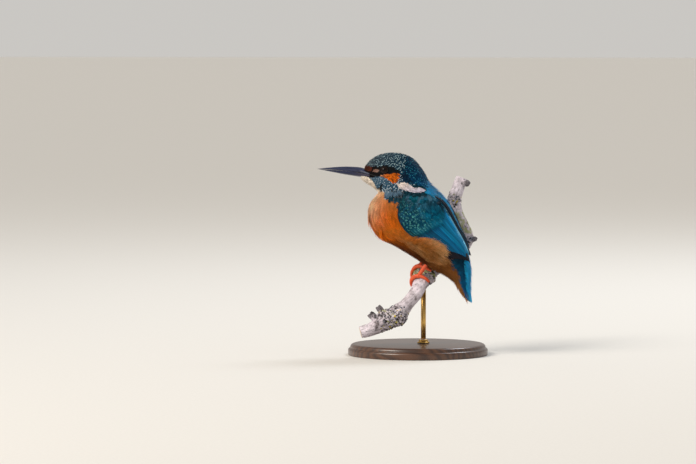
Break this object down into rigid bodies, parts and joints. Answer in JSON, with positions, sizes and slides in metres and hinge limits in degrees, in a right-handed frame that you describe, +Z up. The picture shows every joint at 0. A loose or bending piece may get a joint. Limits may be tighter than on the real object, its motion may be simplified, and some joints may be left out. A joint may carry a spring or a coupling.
{
  "type": "common kingfisher display model",
  "caption": "Life-size still model of a perched common kingfisher gripping a short cut branch, held by a round base and a rod.",
  "frame": {"origin": "centre of the round base's underside, on the surface that the stand rests on", "axes": "+Z up; the bird faces -X, its left side is towards -Y"},
  "size_m": [0.1359, 0.112, 0.1619],
  "materials": {
    "head_plumage": "fine scale-like feathers, dark blue-green with small pale azure bars",
    "neck_plumage": "fine feathers, blue with a white patch on each side",
    "breast_plumage": "soft orange feathers below, brilliant azure along the back",
    "tail_feathers": "short stiff blue feathers",
    "bill_horn": "satin blackish horn",
    "eye": "polished dark brown glass eye",
    "wing_feathers": "overlapping teal-blue feathers with small azure spots",
    "foot_skin": "coral-red scaled skin",
    "bark": "lilac-grey bark with grey and yellow-green lichen",
    "stand_wood": "turned dark hardwood, waxed",
    "stand_brass": "brushed brass"
  },
  "bodies": {
    "root": {"head": "head_plumage", "neck": "neck_plumage", "torso": "breast_plumage", "tail": "tail_feathers", "bill_upper": "bill_horn", "bill_lower": "bill_horn", "eye_left": "eye", "eye_right": "eye", "wing_left": "wing_feathers", "wing_right": "wing_feathers", "leg_left": "foot_skin", "leg_right": "foot_skin", "foot_left": "foot_skin", "foot_right": "foot_skin", "perch": "bark", "stand_base": "stand_wood", "stand_collar": "stand_brass", "stand_rod": "stand_brass"}
  },
  "joints": []
}
